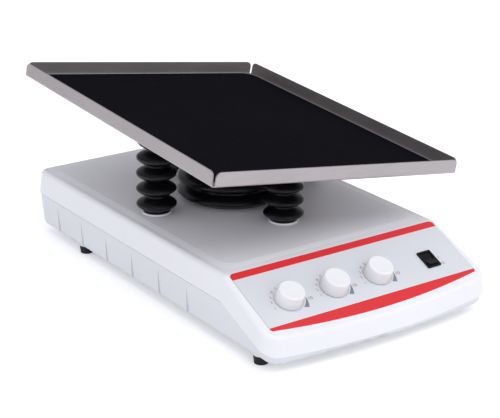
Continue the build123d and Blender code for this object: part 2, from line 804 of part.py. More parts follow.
for name, (shaft_dir, side_dir, socket_place) in drives.items():
    upright = Plane(origin=(0, 0, drive_height), x_dir=side_dir, z_dir=shaft_dir)
    turned = drive_plane(name, turned=True)
    eye_centre = turned.origin + turned.x_dir * rod_circle
    eye_plane = Plane(origin=eye_centre, x_dir=turned.x_dir, z_dir=shaft_dir)

    with BuildPart() as bracket:
        with BuildSketch(upright.offset(motor_face - bracket_thickness)):
            with Locations((0, tub_inside_floor - drive_height)):
                Rectangle(bracket_width, drive_height - tub_inside_floor + motor_radius,
                          align=(Align.CENTER, Align.MIN))
            Circle(gearbox_boss_radius + pin_clearance, mode=Mode.SUBTRACT)
        extrude(amount=bracket_thickness)
        with BuildSketch(upright.offset(motor_face)):
            with Locations((0, tub_inside_floor - drive_height)):
                Rectangle(bracket_width, bracket_thickness, align=(Align.CENTER, Align.MIN))
        extrude(amount=bracket_foot - bracket_thickness)
    finish(bracket, f"{name}_motor_bracket")

    with BuildPart() as gearmotor:
        with BuildSketch(upright.offset(motor_face)):
            Circle(motor_radius)
        extrude(amount=gearbox_length)
        with BuildSketch(upright.offset(motor_face + gearbox_length)):
            Circle(motor_radius - motor_step)
        extrude(amount=motor_length)
        with BuildSketch(upright.offset(motor_face - bracket_thickness)):
            Circle(gearbox_boss_radius)
        extrude(amount=bracket_thickness)
        with BuildSketch(upright.offset(motor_face - bracket_thickness)):
            Circle(output_radius + pin_clearance)
        extrude(amount=bracket_thickness + output_depth, mode=Mode.SUBTRACT)
    finish(gearmotor, f"{name}_gearmotor")

    with BuildPart() as output_shaft:
        with BuildSketch(upright.offset(arm_offset - arm_thickness / 2)):
            Circle(output_radius)
        extrude(amount=motor_face + output_depth - 1 - arm_offset + arm_thickness / 2)
    finish(output_shaft, f"{name}_output_shaft")

    with BuildPart() as arm:
        with BuildSketch(turned.offset(arm_offset - arm_thickness / 2)):
            Circle(arm_hub_radius)
            with Locations((rod_circle, 0)):
                Circle(arm_eye_radius)
            make_hull()
        extrude(amount=arm_thickness)
        with BuildSketch(turned.offset(rod_eye_width / 2 + eye_gap)):
            with Locations((rod_circle, 0)):
                Circle(crank_pin_radius + socket_wall)
        extrude(amount=arm_offset - arm_thickness / 2 - rod_eye_width / 2 - eye_gap)
        with BuildSketch(turned):
            Circle(output_radius)
            with Locations((rod_circle, 0)):
                Circle(crank_pin_radius)
        extrude(amount=arm_offset + arm_thickness, mode=Mode.SUBTRACT)
    finish(arm, f"{name}_arm")

    with BuildPart() as crank_pin:
        with BuildSketch(eye_plane.offset(-rod_eye_width / 2 - eye_gap)):
            Circle(crank_pin_radius)
        extrude(amount=arm_offset + arm_thickness / 2 + rod_eye_width / 2 + eye_gap)
        with BuildSketch(eye_plane.offset(-rod_eye_width / 2 - eye_gap)):
            Circle(crank_pin_radius + pin_head)
        extrude(amount=-pin_head)
    finish(crank_pin, f"{name}_crank_pin")

    with BuildPart() as rod:
        with BuildSketch(eye_plane):
            Circle(rod_eye_radius)
        extrude(amount=rod_eye_width / 2, both=True)
        with BuildSketch(Plane(origin=eye_centre)):
            Circle(rod_radius)
        extrude(amount=rod_length)
        with Locations(eye_centre + Vector(0, 0, rod_length)):
            Sphere(ball_radius)
        with BuildSketch(eye_plane):
            Circle(crank_pin_radius + pin_clearance)
        extrude(amount=rod_eye_width, both=True, mode=Mode.SUBTRACT)
    finish(rod, f"{name}_rod")

    socket_plane = Plane(
        origin=tray_frame.origin + tray_frame.x_dir * socket_place.X + tray_frame.y_dir * socket_place.Y,
        x_dir=tray_frame.x_dir,
        z_dir=tray_frame.z_dir,
    )
    with BuildPart() as socket:
        with BuildSketch(socket_plane.offset(-socket_drop)):
            Circle(socket_radius)
        extrude(amount=socket_drop + hub_underside)
        with BuildSketch(socket_plane.offset(-socket_drop)):
            Circle(socket_radius - socket_wall)
        extrude(amount=socket_drop + ball_radius + ball_play, mode=Mode.SUBTRACT)
    finish(socket, f"{name}_rod_socket")

# Potentiometers on the panel, with their spindles and knobs
panel_out = Axis(panel_plane.origin, panel_plane.z_dir)

for name, x in zip(knob_names, knob_places):
    knob_plane = Plane(
        origin=panel_plane.origin + panel_plane.x_dir * x - panel_plane.y_dir * control_row,
        x_dir=panel_plane.x_dir,
        z_dir=panel_plane.z_dir,
    )
    with BuildPart() as potentiometer:
        with BuildSketch(knob_plane.offset(-cover_wall)):
            Circle(pot_radius)
        extrude(amount=-pot_depth)
        with BuildSketch(knob_plane.offset(-cover_wall)):
            Circle(bushing_radius)
        extrude(amount=cover_wall + bushing_length)
        with BuildSketch(knob_plane.offset(bushing_length)):
            Circle(spindle_radius + spindle_clearance)
        extrude(amount=pot_back - bushing_length - cover_wall - pot_depth, mode=Mode.SUBTRACT)
    finish(potentiometer, f"{name}_potentiometer")

    with BuildPart() as spindle:
        with BuildSketch(knob_plane.offset(knob_height - knob_face_wall)):
            Circle(spindle_radius)
        extrude(amount=-spindle_length)
    finish(spindle, f"{name}_spindle")

    with BuildPart() as knob:
        with BuildSketch(knob_plane.offset(knob_standoff)):
            Circle(knob_base_radius)
        extrude(
            amount=knob_height - knob_standoff,
            taper=degrees(atan2(knob_base_radius - knob_face_radius, knob_height - knob_standoff)),
        )
        fillet(edges().group_by(panel_out)[-1], knob_edge_radius)
        with BuildSketch(knob_plane.offset(knob_standoff)):
            Circle(knob_face_radius - knob_wall)
            Circle(knob_hub_radius, mode=Mode.SUBTRACT)
        extrude(amount=knob_height - knob_standoff - knob_face_wall, mode=Mode.SUBTRACT)
        with BuildSketch(knob_plane.offset(knob_standoff)):
            Circle(knob_hub_radius)
        extrude(amount=bushing_length, mode=Mode.SUBTRACT)
        with BuildSketch(knob_plane.offset(knob_standoff)):
            Circle(spindle_radius)
        extrude(amount=knob_height - knob_standoff - knob_face_wall, mode=Mode.SUBTRACT)
        with BuildSketch(knob_plane.offset(knob_height)):
            with PolarLocations(knob_face_radius - knob_mark_length, 1, start_angle=knob_rest_angle):
                Rectangle(knob_mark_length, knob_mark_width)
        extrude(amount=-knob_mark_depth, mode=Mode.SUBTRACT)
    finish(knob, f"{name}_knob")

with BuildPart() as potentiometer_nuts:
    with BuildSketch(panel_plane):
        with Locations(*[(x, -control_row) for x in knob_places]):
            RegularPolygon(nut_width / 2, 6, major_radius=False)
            Circle(bushing_radius + pin_clearance, mode=Mode.SUBTRACT)
    extrude(amount=nut_thickness)
finish(potentiometer_nuts, "potentiometer_nuts")

# Power switch: a frame through the panel and a rocker that turns in it
switch_plane = Plane(
    origin=panel_plane.origin + panel_plane.x_dir * switch_x - panel_plane.y_dir * control_row,
    x_dir=panel_plane.x_dir,
    z_dir=panel_plane.z_dir,
)
with BuildPart() as switch_frame:
    with BuildSketch(switch_plane):
        RectangleRounded(switch_width, switch_length, switch_corner)
    extrude(amount=switch_frame_height)
    with BuildSketch(switch_plane):
        Rectangle(switch_body_width, switch_body_length)
    extrude(amount=-switch_depth)
    with BuildSketch(switch_plane.offset(switch_frame_height)):
        Rectangle(switch_width - 2 * switch_rim, switch_length - 2 * switch_rim)
    extrude(amount=-switch_frame_height - rocker_pocket, mode=Mode.SUBTRACT)
finish(switch_frame, "switch_frame")

rocker_radius = switch_length / 2 - switch_rim - rocker_clearance
rocker_tilt = radians(-rocker_swing)
rocker_plane = Plane(
    origin=switch_plane.origin,
    x_dir=switch_plane.y_dir * cos(rocker_tilt) + switch_plane.z_dir * sin(rocker_tilt),
    z_dir=switch_plane.x_dir,
)
with BuildPart() as power_rocker:
    with BuildSketch(rocker_plane):
        Circle(rocker_radius)
        with BuildLine():
            Polyline(
                (-rocker_radius, -rocker_drop),
                (rocker_radius, -rocker_drop),
                (rocker_radius, rocker_rise),
                (0, rocker_middle),
                (-rocker_radius, rocker_rise),
                close=True,
            )
        make_face(mode=Mode.INTERSECT)
    extrude(amount=switch_width / 2 - switch_rim - rocker_clearance, both=True)
finish(power_rocker, "power_rocker")

# Mains inlet in the back wall, with a recess for the plug and three blades
recess_width = inlet_width - 2 * inlet_wall
recess_tall = inlet_tall - 2 * inlet_wall

with BuildPart() as mains_inlet:
    with BuildSketch(inlet_plane):
        Rectangle(inlet_width, inlet_tall)
    extrude(amount=-inlet_depth)
    with BuildSketch(inlet_plane):
        RectangleRounded(inlet_flange_width, inlet_flange_tall, 2)
    extrude(amount=inlet_flange)
    with BuildSketch(inlet_plane.offset(inlet_flange)):
        Rectangle(recess_width, recess_tall)
        chamfer(vertices().group_by(Axis.Y)[-1], inlet_corner)
    extrude(amount=-inlet_recess, mode=Mode.SUBTRACT)
finish(mains_inlet, "mains_inlet")

with BuildPart() as inlet_blades:
    with BuildSketch(inlet_plane.offset(inlet_flange - inlet_recess)):
        with Locations((-inlet_blade_pitch, -inlet_blade_offset), (inlet_blade_pitch, -inlet_blade_offset),
                       (0, inlet_blade_offset)):
            Rectangle(inlet_blade_thickness, inlet_blade_width)
    extrude(amount=inlet_pin_length)
finish(inlet_blades, "inlet_blades")

# Power supply and control board on the floor of the tub
with BuildPart() as power_supply:
    with BuildSketch(Plane.XY.offset(tub_inside_floor)):
        with Locations(supply_place):
            RectangleRounded(supply_length, supply_width, supply_corner)
    extrude(amount=supply_height)
    with BuildSketch(Plane.XY.offset(tub_inside_floor + supply_height)):
        with Locations(supply_place):
            with GridLocations(supply_length / supply_slots, 0, supply_slots - 1, 1):
                Rectangle(supply_slot_width, supply_width * 0.7)
    extrude(amount=-supply_slot_width, mode=Mode.SUBTRACT)
finish(power_supply, "power_supply")

with BuildPart() as control_board:
    with BuildSketch(Plane.XY.offset(tub_inside_floor + board_standoff)):
        with Locations(board_place):
            Rectangle(board_width, board_length)
            with GridLocations(board_width - 2 * board_hole_inset, board_length - 2 * board_hole_inset, 2, 2):
                Circle(board_hole_radius, mode=Mode.SUBTRACT)
    extrude(amount=board_thickness)
    with BuildSketch(Plane.XY.offset(tub_inside_floor + board_standoff + board_thickness)):
        with Locations(board_place):
            with GridLocations(board_width / 4, 0, 3, 1):
                Rectangle(board_chip, board_chip)
    extrude(amount=board_chip / 4)
finish(control_board, "control_board")

# Rubber bellows: four small ones round a large one that hides the universal joint
platform_floor = pivot_height + tray_underside

for name, (x, y) in small_bellows.items():
    foot = Plane(origin=(x, y, crown_top + seat_ring_height + bellows_seat))
    head = Plane(
        origin=tray_frame.origin + tray_frame.x_dir * x + tray_frame.y_dir * y
        + tray_frame.z_dir * (tray_underside - bellows_seat),
        z_dir=tray_frame.z_dir,
    )
    free_height = platform_floor - crown_top - seat_ring_height - 2 * bellows_seat
    with BuildPart() as bellows:
        for plane, radius in bellows_sections(foot, head, free_height, neck_radius, lobe_radius):
            with BuildSketch(plane):
                Circle(radius)
        loft(ruled=True)
        for plane, radius in bellows_sections(foot, head, free_height, neck_radius, lobe_radius):
            with BuildSketch(plane):
                Circle(radius - bellows_wall)
        loft(ruled=True, mode=Mode.SUBTRACT)
    finish(bellows, name)

large_foot = Plane(origin=(0, 0, crown_top + bellows_seat))
large_head = Plane(
    origin=tray_frame.origin + tray_frame.z_dir * (tray_underside - bellows_seat),
    z_dir=tray_frame.z_dir,
)
large_free_height = platform_floor - crown_top - 2 * bellows_seat
with BuildPart() as large_bellows:
    for plane, radius in bellows_sections(
        large_foot, large_head, large_free_height, large_neck_radius, large_lobe_radius
    ):
        with BuildSketch(plane):
            Circle(radius)
    loft(ruled=True)
    for plane, radius in bellows_sections(
        large_foot, large_head, large_free_height, large_neck_radius, large_lobe_radius
    ):
        with BuildSketch(plane):
            Circle(radius - bellows_wall)
    loft(ruled=True, mode=Mode.SUBTRACT)
finish(large_bellows, "large_bellows")

with BuildPart() as large_bellows_ring:
    with BuildSketch(Plane.XY.offset(crown_top)):
        Circle(large_neck_radius - bellows_wall - bellows_seat)
        Circle(large_neck_radius - bellows_wall - bellows_seat - clamp_ring_width, mode=Mode.SUBTRACT)
    extrude(amount=clamp_ring_height)
finish(large_bellows_ring, "large_bellows_ring")
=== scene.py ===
import math

import bmesh
import bpy
import numpy as np
from mathutils import Matrix, Vector


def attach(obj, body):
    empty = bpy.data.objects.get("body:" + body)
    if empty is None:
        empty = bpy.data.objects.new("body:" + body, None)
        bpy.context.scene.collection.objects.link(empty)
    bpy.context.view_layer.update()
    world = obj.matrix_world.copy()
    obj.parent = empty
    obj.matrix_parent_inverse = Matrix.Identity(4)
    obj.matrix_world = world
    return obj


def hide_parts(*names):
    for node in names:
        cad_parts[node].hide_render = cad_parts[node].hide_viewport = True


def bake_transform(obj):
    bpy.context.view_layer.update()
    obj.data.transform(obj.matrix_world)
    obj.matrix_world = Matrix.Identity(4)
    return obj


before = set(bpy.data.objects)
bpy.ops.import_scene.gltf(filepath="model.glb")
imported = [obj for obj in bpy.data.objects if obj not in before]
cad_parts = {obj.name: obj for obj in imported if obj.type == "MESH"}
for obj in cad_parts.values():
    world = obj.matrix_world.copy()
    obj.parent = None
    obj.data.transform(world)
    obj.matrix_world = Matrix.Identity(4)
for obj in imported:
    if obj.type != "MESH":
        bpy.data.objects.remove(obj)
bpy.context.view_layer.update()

# Camera, a long lens from the front left at the height of a person who stands at the bench.
# Its place, lens and slight roll put the housing and the tray where the photograph has them.
azimuth, elevation, roll = math.radians(-35.145), math.radians(20.569), math.radians(0.316)
lens_length, sensor_width, camera_distance = 108.495, 36, 1.71804
look_at = np.array([0.031413, 0.011016, 0.050519])
shift_right, shift_down = 0.0013, 0.0012

towards_camera = np.array([
    math.sin(azimuth) * math.cos(elevation),
    -math.cos(azimuth) * math.cos(elevation),
    math.sin(elevation),
])
level_right = np.cross(-towards_camera, [0, 0, 1])
level_right = level_right / np.linalg.norm(level_right)
level_up = np.cross(level_right, -towards_camera)
camera_right = level_right * math.cos(roll) + level_up * math.sin(roll)
camera_up = level_up * math.cos(roll) - level_right * math.sin(roll)
camera_place = (look_at + towards_camera * camera_distance + camera_right * shift_right
                - camera_up * shift_down)

camera_data = bpy.data.cameras.new("bench_view")
camera_data.lens = lens_length
camera_data.sensor_width = sensor_width
camera = bpy.data.objects.new("bench_view", camera_data)
bpy.context.scene.collection.objects.link(camera)
camera_frame = np.eye(4)
camera_frame[:3, 0], camera_frame[:3, 1] = camera_right, camera_up
camera_frame[:3, 2], camera_frame[:3, 3] = towards_camera, camera_place
camera.matrix_world = Matrix(camera_frame.tolist())
bpy.context.scene.camera = camera
bpy.context.scene.view_settings.view_transform = "Standard"

# Studio: a white sweep under and behind the shaker and four soft boxes, in front, on the left, on
# the right and overhead, weak enough that the white mouldings keep their shading.
sweep_half_width = 4.5
sweep_colour, white_lift = (0.86, 0.86, 0.87, 1), 0.35
air_colour, air_strength = (0.93, 0.95, 1.0, 1), 0.80
mirrored_colour, mirrored_strength = (0.95, 0.95, 1.0, 1), 0.42
lamp_target = Vector((0, -0.03, 0.08))


def feed(tree, node, feeds):
    """Give a node's inputs what feeds names: another node's output is linked, a constant is set."""
    for socket, source in feeds.items():
        if isinstance(source, bpy.types.NodeSocket):
            tree.links.new(source, node.inputs[socket])
        else:
            node.inputs[socket].default_value = source


def add_node(tree, kind, feeds=None, **options):
    """A new shader node with its options set and its inputs fed."""
    node = tree.nodes.new(kind)
    for option, choice in options.items():
        setattr(node, option, choice)
    feed(tree, node, feeds or {})
    return node


def combine(tree, operation, first, second):
    """Output of a Math node that works on two outputs or constants."""
    return add_node(tree, "ShaderNodeMath", {0: first, 1: second}, operation=operation).outputs[0]


def seen_by(tree, *rays):
    """Mask that is 1 for the named kinds of ray, the largest of their Light Path values."""
    path = add_node(tree, "ShaderNodeLightPath")
    mask = path.outputs[rays[0]]
    for ray in rays[1:]:
        mask = combine(tree, "MAXIMUM", mask, path.outputs[ray])
    return mask


def new_material(name, feeds):
    """A material whose shader has the given constants, with its node tree and that shader."""
    material = bpy.data.materials.new(name)
    material.use_nodes = True
    shader = material.node_tree.nodes["Principled BSDF"]
    feed(material.node_tree, shader, feeds)
    return material, material.node_tree, shader


sweep_mesh = bpy.data.meshes.new("studio_sweep")
sweep_corners = np.array([(-1, -1, 0), (1, -1, 0), (1, 1, 0), (-1, 1, 0)]) * sweep_half_width
sweep_mesh.from_pydata(sweep_corners.tolist(), [], [(0, 1, 2, 3)])
sweep = bpy.data.objects.new("studio_sweep", sweep_mesh)
bpy.context.scene.collection.objects.link(sweep)
sweep_paint, tree, matt = new_material("studio_white", {
    "Base Color": sweep_colour, "Roughness": 1.0, "Specular IOR Level": 0.0,
})
in_view = seen_by(tree, "Is Camera Ray", "Is Glossy Ray", "Is Transmission Ray")
nothing = add_node(tree, "ShaderNodeEmission", {"Strength": 0.0})
lift = add_node(tree, "ShaderNodeEmission", {"Strength": white_lift})
lifted = add_node(tree, "ShaderNodeMixShader", {0: in_view, 1: nothing.outputs[0], 2: lift.outputs[0]})
total = add_node(tree, "ShaderNodeAddShader", {0: lifted.outputs[0], 1: matt.outputs[0]})
feed(tree, tree.nodes["Material Output"], {"Surface": total.outputs[0]})
sweep_mesh.materials.append(sweep_paint)

world = bpy.data.worlds.new("studio_air")
bpy.context.scene.world = world
world.use_nodes = True
tree = world.node_tree
air = tree.nodes["Background"]
feed(tree, air, {"Color": air_colour, "Strength": air_strength})
mirrored = add_node(tree, "ShaderNodeBackground", {"Color": mirrored_colour, "Strength": mirrored_strength})
backdrop = add_node(tree, "ShaderNodeBackground", {"Color": (1, 1, 1, 1), "Strength": 1.0})
unseen = add_node(tree, "ShaderNodeMixShader", {
    0: seen_by(tree, "Is Glossy Ray"), 1: air.outputs[0], 2: mirrored.outputs[0],
})
around_all = add_node(tree, "ShaderNodeMixShader", {
    0: seen_by(tree, "Is Camera Ray", "Is Transmission Ray"), 1: unseen.outputs[0], 2: backdrop.outputs[0],
})
feed(tree, tree.nodes["World Output"], {"Surface": around_all.outputs[0]})

for lamp_name, place, width, height, watts, tint in (
    ("front_soft_box", (-0.5, -2.4, 0.85), 2.2, 1.3, 8.0, (1.0, 0.985, 0.98)),
    ("side_soft_box", (-2.4, 0.3, 0.45), 2.0, 0.8, 7.0, (1.0, 0.99, 1.0)),
    ("right_soft_box", (1.9, -1.3, 1.3), 1.4, 1.4, 7.0, (1.0, 0.99, 0.985)),
    ("overhead_soft_box", (0.0, -1.2, 2.3), 1.8, 1.6, 17.0, (0.95, 0.955, 1.0)),
):
    lamp_data = bpy.data.lights.new(lamp_name, "AREA")
    lamp_data.shape = "RECTANGLE"
    lamp_data.size, lamp_data.size_y = width, height
    lamp_data.energy = watts
    lamp_data.color = tint
    lamp = bpy.data.objects.new(lamp_name, lamp_data)
    bpy.context.scene.collection.objects.link(lamp)
    lamp.location = place
    lamp.rotation_euler = (lamp_target - Vector(place)).to_track_quat("-Z", "Y").to_euler()

# Lower tub of the housing, moulded in a slightly greyer white than the cover, with six tapered
# flutes a side. The mould's spark finish gives it a fine grain that only shows as a soft sheen.
tub_white = (0.76, 0.77, 0.80, 1)


def finish_group(name, inputs):
    """A node group that turns the named inputs into a colour, a roughness and a height."""
    group = bpy.data.node_groups.new(name, "ShaderNodeTree")
    for socket, kind, value in inputs:
        made = group.interface.new_socket(name=socket, in_out="INPUT", socket_type=kind)
        made.default_value = value
    for socket, kind in (("Colour", "NodeSocketColor"), ("Roughness", "NodeSocketFloat"),
                         ("Height", "NodeSocketFloat")):
        group.interface.new_socket(name=socket, in_out="OUTPUT", socket_type=kind)
    return group, group.nodes.new("NodeGroupInput").outputs


def noise(tree, scale, detail=2.0):
    """Noise on Object coordinates, its scale in cells a metre."""
    place = add_node(tree, "ShaderNodeTexCoord")
    return add_node(tree, "ShaderNodeTexNoise", {
        "Vector": place.outputs["Object"], "Scale": scale, "Detail": detail,
    }).outputs["Fac"]


def remap(tree, value, low, high, start=0.0, stop=1.0):
    """A value that runs from start to stop, turned into one that runs from low to high."""
    return add_node(tree, "ShaderNodeMapRange", {
        "Value": value, "From Min": start, "From Max": stop, "To Min": low, "To Max": high,
    }).outputs["Result"]


def mix_colours(tree, share, first, second, blend="MIX"):
    """The first colour with the given share of the second, or of their product for MULTIPLY."""
    return add_node(tree, "ShaderNodeMix", {"Factor": share, "A": first, "B": second},
                    data_type="RGBA", blend_type=blend).outputs["Result"]


def raised(tree, height, depth, strength):
    """Normal of a bump that stands depth metres high where the height is 1."""
    return add_node(tree, "ShaderNodeBump", {
        "Height": height, "Distance": depth, "Strength": strength,
    }).outputs["Normal"]


def finished(name, group, feeds, depth, strength, own):
    """Material whose colour, roughness and bump come from a finish group that is given the feeds.

    The bump stands depth metres high, and own holds the constants of the shader itself.
    """
    material, tree, shader = new_material(name, own)
    finish = add_node(tree, "ShaderNodeGroup", feeds, node_tree=group).outputs
    feed(tree, shader, {
        "Base Color": finish["Colour"],
        "Roughness": finish["Roughness"],
        "Normal": raised(tree, finish["Height"], depth, strength),
    })
    return material


spark, given = finish_group("spark_finish", (
    ("Colour", "NodeSocketColor", (0.8, 0.8, 0.8, 1)),
    ("Grain size", "NodeSocketFloat", 900.0),
    ("Cloud", "NodeSocketFloat", 0.03),
    ("Sheen roughness", "NodeSocketFloat", 0.4),
))
fine_grain = noise(spark, given["Grain size"], detail=3.0)
darkest = combine(spark, "SUBTRACT", 1.0, given["Cloud"])
clouds = remap(spark, noise(spark, 7.0), darkest, 1.0, start=0.3, stop=0.7)
add_node(spark, "NodeGroupOutput", {
    "Colour": mix_colours(spark, 1.0, given["Colour"], clouds, "MULTIPLY"),
    "Roughness": combine(spark, "ADD", given["Sheen roughness"], remap(spark, fine_grain, -0.05, 0.05)),
    "Height": fine_grain,
})


def moulded(name, colour, grain, cloud, roughness, depth, gloss=0.5):
    """Plastic or rubber from a spark-finished mould: grain in bump and roughness, clouds in tone."""
    values = {"Colour": colour, "Grain size": grain, "Cloud": cloud, "Sheen roughness": roughness}
    return finished(name, spark, values, depth, strength=0.4, own={"Specular IOR Level": gloss})


def dress(material, *nodes):
    """Give CAD nodes their material in place of the plain one that they came with."""
    for node in nodes:
        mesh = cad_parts[node].data
        mesh.materials.clear()
        mesh.materials.append(material)


tub_plastic = moulded("tub_plastic", tub_white, grain=900.0, cloud=0.04, roughness=0.46, depth=0.00006)
dress(tub_plastic, "bottom_tub")

# Cover of the housing: a drafted shell in a brighter white with a raised crown, a rounded shoulder
# and the sloped panel seat, injection moulded with the same fine grain as the tub.
cover_white = (0.83, 0.83, 0.86, 1)

cover_plastic = moulded("cover_plastic", cover_white, grain=1000.0, cloud=0.025, roughness=0.42,
                        depth=0.00005)
dress(cover_plastic, "top_cover")

# Overlay of the control panel: printed polyester film, light grey with a red band along its upper
# edge and a red lens along its bowed lower edge. It is die cut, with a window for the switch and a
# hole for each spindle, and glued into its seat on the slope of the cover.
panel_top = np.array([0.0, -0.1858, 0.0759])
panel_drop, panel_length = 0.04182, 0.0922
upper_band, lower_band = 0.0086, 0.0758
film_grey, film_red = (0.68, 0.695, 0.725, 1), (0.72, 0.024, 0.028, 1)
film_half_width, film_side, film_bow, film_thickness = 0.1310, 0.0795, 0.0105, 0.00012
film_top_corner, film_low_corner, low_corner_drop = 0.0050, 0.0030, 0.0006
top_corner_points, low_corner_points, bow_points = 9, 6, 60
knob_row = 0.049
knob_places = {"speed": -0.0904, "tilt": -0.0347, "timer": 0.0210}
spindle_hole, hole_points = 0.0040, 24
switch_place, switch_window = 0.0899, (0.0076, 0.0103)

panel_fall = math.atan2(panel_drop, panel_length)
panel_down = np.array([0.0, -math.cos(panel_fall), -math.sin(panel_fall)])
panel_out = np.array([0.0, -math.sin(panel_fall), math.cos(panel_fall)])

# the bands are told apart by how far down the slope a point lies
film, tree, ink = new_material("panel_film", {"Specular IOR Level": 0.45})
place = add_node(tree, "ShaderNodeTexCoord")
from_top = add_node(tree, "ShaderNodeVectorMath", {
    0: place.outputs["Object"], 1: panel_top.tolist(),
}, operation="SUBTRACT")
down_slope = add_node(tree, "ShaderNodeVectorMath", {
    0: from_top.outputs["Vector"], 1: panel_down.tolist(),
}, operation="DOT_PRODUCT").outputs["Value"]
in_red = combine(tree, "MAXIMUM", combine(tree, "LESS_THAN", down_slope, upper_band),
                 combine(tree, "GREATER_THAN", down_slope, lower_band))
mottle = noise(tree, 420.0, detail=4.0)
feed(tree, ink, {
    "Base Color": mix_colours(tree, in_red, film_grey, film_red),
    "Roughness": remap(tree, mottle, 0.33, 0.45),
    "Normal": raised(tree, mottle, depth=0.00002, strength=0.3),
})


def on_panel(across, down, lift=0.0):
    """Points of the panel: its upper edge plus across along X, down along the slope, lift off it."""
    across, down, lift = np.broadcast_arrays(*(np.asarray(v, float) for v in (across, down, lift)))
    return (panel_top + across[..., None] * np.array([1.0, 0, 0]) + down[..., None] * panel_down
            + lift[..., None] * panel_out)


def arc_points(centre, radius, start, end, count):
    """Points of an arc in the panel's plane, angles in radians from across towards down the slope."""
    turn = np.linspace(start, end, count)
    return np.stack([centre[0] + radius * np.cos(turn), centre[1] + radius * np.sin(turn)], 1)


def as_mesh(curve):
    """Mesh of a flat curve or a text, which is then deleted, and the mesh's points as an array."""
    sample = bpy.data.objects.new("sample", curve)
    mesh = bpy.data.meshes.new_from_object(sample)
    bpy.data.objects.remove(sample)
    bpy.data.curves.remove(curve)
    points = np.empty(len(mesh.vertices) * 3)
    mesh.vertices.foreach_get("co", points)
    return mesh, points.reshape(-1, 3)


def add_piece(name, mesh, material):
    """A piece of one material from a mesh in place: doubles are merged, faces turned outwards."""
    tidy = bmesh.new()
    tidy.from_mesh(mesh)
    bmesh.ops.remove_doubles(tidy, verts=tidy.verts, dist=1e-7)
    bmesh.ops.recalc_face_normals(tidy, faces=tidy.faces)
    tidy.to_mesh(mesh)
    tidy.free()
    mesh.materials.clear()
    mesh.materials.append(material)
    piece = bpy.data.objects.new(name, mesh)
    bpy.context.scene.collection.objects.link(piece)
    return piece


# outline from the upper left corner round to the lower left one, the low edge being one wide arc
bow_radius = (film_half_width**2 + film_bow**2) / (2 * film_bow)
bow_reach = math.asin((film_half_width - film_low_corner) / bow_radius)
left_turn, right_turn = 0.5 * math.pi + bow_reach, 0.5 * math.pi - bow_reach
top_x, low_x = film_half_width - film_top_corner, film_half_width - film_low_corner
low_corner_down = film_side - film_low_corner + low_corner_drop
film_outline = np.concatenate([
    arc_points((-top_x, film_top_corner), film_top_corner, math.pi, 1.5 * math.pi, top_corner_points),
    arc_points((top_x, film_top_corner), film_top_corner, -0.5 * math.pi, 0, top_corner_points),
    arc_points((low_x, low_corner_down), film_low_corner, 0, right_turn, low_corner_points),
    arc_points((0, film_side + film_bow - bow_radius), bow_radius, right_turn, left_turn, bow_points)[1:-1],
    arc_points((-low_x, low_corner_down), film_low_corner, left_turn, math.pi, low_corner_points),
])
window = np.array([(-1, -1), (1, -1), (1, 1), (-1, 1)]) * switch_window + (switch_place, knob_row)
last_turn = 2 * math.pi * (hole_points - 1) / hole_points
holes = [arc_points((x, knob_row), spindle_hole, 0, last_turn, hole_points) for x in knob_places.values()]

film_curve = bpy.data.curves.new("film_outline", "CURVE")
film_curve.dimensions = "2D"
film_curve.fill_mode = "BOTH"
film_curve.extrude = film_thickness / 2
for ring in [film_outline, window, *holes]:
    spline = film_curve.splines.new("POLY")
    spline.points.add(len(ring) - 1)
    spline.points.foreach_set("co", np.column_stack([ring, np.zeros(len(ring)), np.ones(len(ring))]).ravel())
    spline.use_cyclic_u = True
film_mesh, flat = as_mesh(film_curve)
film_points = on_panel(flat[:, 0], flat[:, 1], flat[:, 2] + film_thickness / 2)
film_mesh.vertices.foreach_set("co", film_points.ravel())
film_piece = add_piece("panel_film", film_mesh, film)
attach(film_piece, "housing")
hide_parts("panel_overlay")

# Printing on the overlay: numbers round each dial, a grey wedge that swells beside the last number,
# and the strokes beside the power switch. Each is a skin of ink a few hundredths of a millimetre thick.
ink_thickness, ink_seat = 0.00004, film_thickness
capital_share, number_height, last_number_scale = 0.7, 0.0031, 1.3
# how far each number stands across and down from the middle of its knob
numbers_at = [(-0.0198, 0.0061), (-0.0193, -0.0018), (-0.0167, -0.0080), (-0.0117, -0.0139),
              (-0.0046, -0.0169), (0.0030, -0.0178), (0.0098, -0.0155), (0.0153, -0.0108),
              (0.0186, -0.0036), (0.0226, 0.0056)]
stroke_place, stroke_height, stroke_rows = 0.1028, 0.0034, (0.0495, 0.0580)
wedge_steps, wedge_tip, wedge_run = 9, (0.0186, 0.0027), (0.0062, 0.0120)
wedge_curl, wedge_tip_half, wedge_swell, wedge_slant = 1.6, 0.0002, 0.0023, 0.4

red_ink = moulded("red_ink", (0.42, 0.05, 0.06, 1), grain=1500.0, cloud=0.1, roughness=0.4, depth=0.00001)
grey_ink = moulded("grey_ink", (0.20, 0.26, 0.29, 1), grain=1500.0, cloud=0.1, roughness=0.4, depth=0.00001)


def printed_glyphs(name, glyphs):
    """Piece of red glyphs, each given as its text, its place on the panel and its height."""
    points, faces, first = [], [], 0
    for text, across, down, height in glyphs:
        outline = bpy.data.curves.new("glyph", "FONT")
        outline.body = text
        outline.align_x, outline.align_y = "CENTER", "CENTER"
        outline.size = height / capital_share
        outline.extrude = ink_thickness / 2
        outline.resolution_u = 3
        shape, flat = as_mesh(outline)
        lift = ink_seat + ink_thickness / 2 + flat[:, 2]
        points.append(on_panel(across + flat[:, 0], down - flat[:, 1], lift))
        faces += [[first + i for i in face.vertices] for face in shape.polygons]
        first += len(flat)
        bpy.data.meshes.remove(shape)
    mesh = bpy.data.meshes.new(name)
    mesh.from_pydata(np.concatenate(points).tolist(), [], faces)
    piece = add_piece(name, mesh, red_ink)
    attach(piece, "housing")


